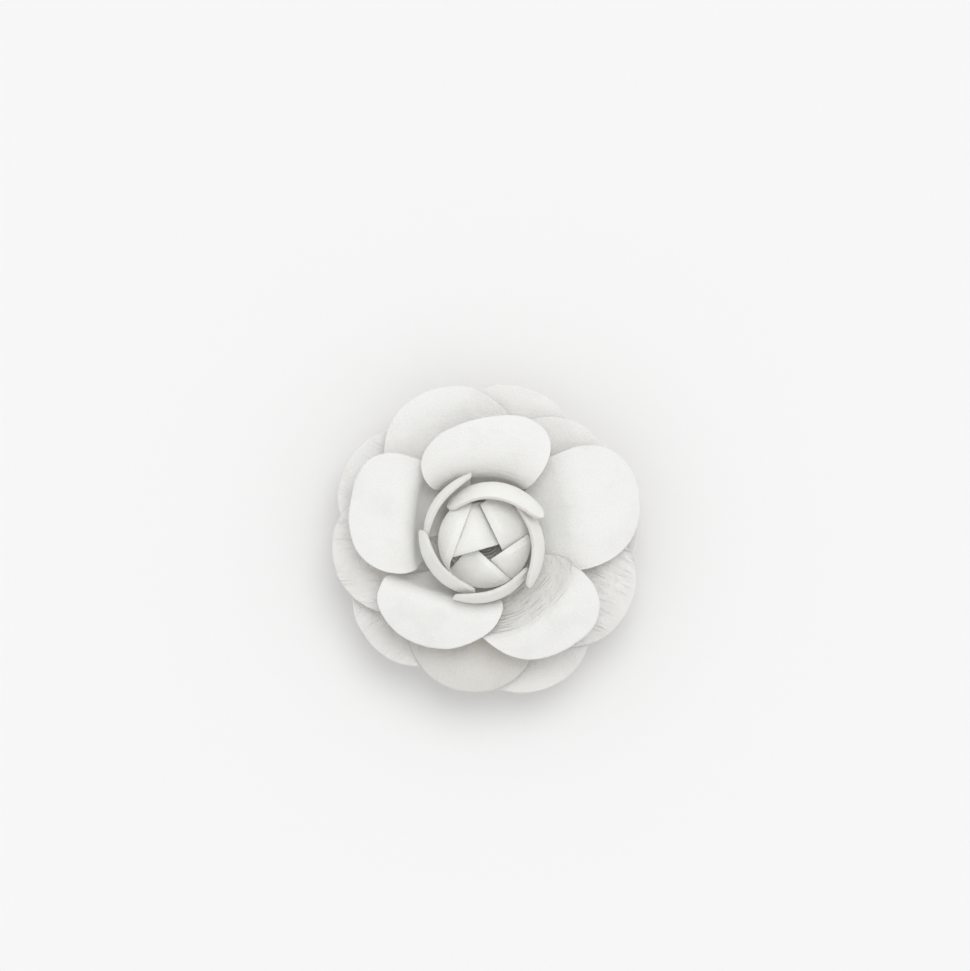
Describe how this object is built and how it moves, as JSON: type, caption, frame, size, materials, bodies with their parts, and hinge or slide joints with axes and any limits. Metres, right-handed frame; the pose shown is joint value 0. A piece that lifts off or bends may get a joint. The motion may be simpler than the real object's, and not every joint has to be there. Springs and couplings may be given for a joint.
{
  "type": "flower hair clip",
  "caption": "White leather camellia, hand-shaped petals in layered rings round a folded bud, on a sprung steel hair clip held by felt.",
  "frame": {"origin": "under the flower's axis, on the flat underside of the clip's lower arm", "axes": "+Z out of the flower's face, +X along the clip towards its thumb tabs, +Y up in the picture"},
  "size_m": [0.0987, 0.0988, 0.0404],
  "materials": {
    "leather": "matte",
    "felt": "matte",
    "steel": "satin"
  },
  "bodies": {
    "flower": {"outer_petal_1": "leather", "outer_petal_2": "leather", "outer_petal_3": "leather", "outer_petal_4": "leather", "outer_petal_5": "leather", "middle_petal_1": "leather", "middle_petal_2": "leather", "middle_petal_3": "leather", "middle_petal_4": "leather", "middle_petal_5": "leather", "inner_petal_1": "leather", "inner_petal_2": "leather", "inner_petal_3": "leather", "inner_petal_4": "leather", "inner_petal_5": "leather", "wrap_petal_1": "leather", "wrap_petal_2": "leather", "wrap_petal_3": "leather", "wrap_petal_4": "leather", "wrap_petal_5": "leather", "bud_petal_1": "leather", "bud_petal_2": "leather", "bud_petal_3": "leather", "bud_petal_4": "leather", "bud_petal_5": "leather", "bud_core": "leather", "base_disc": "leather", "felt_backing": "felt", "felt_strap": "felt", "upper_arm": "steel", "hinge_pin": "steel", "torsion_spring": "steel"},
    "lower_jaw": {"lower_arm": "steel"}
  },
  "joints": [
    {"name": "jaw_hinge", "type": "hinge", "parent": "flower", "child": "lower_jaw", "pos_m": [0.011, 0, 0.00363], "axis": [0, -1, 0], "range_deg": [0, 24], "stiffness_Nm_per_rad": 0.05, "springref_deg": -68.75, "deforming": ["torsion_spring"]}
  ]
}
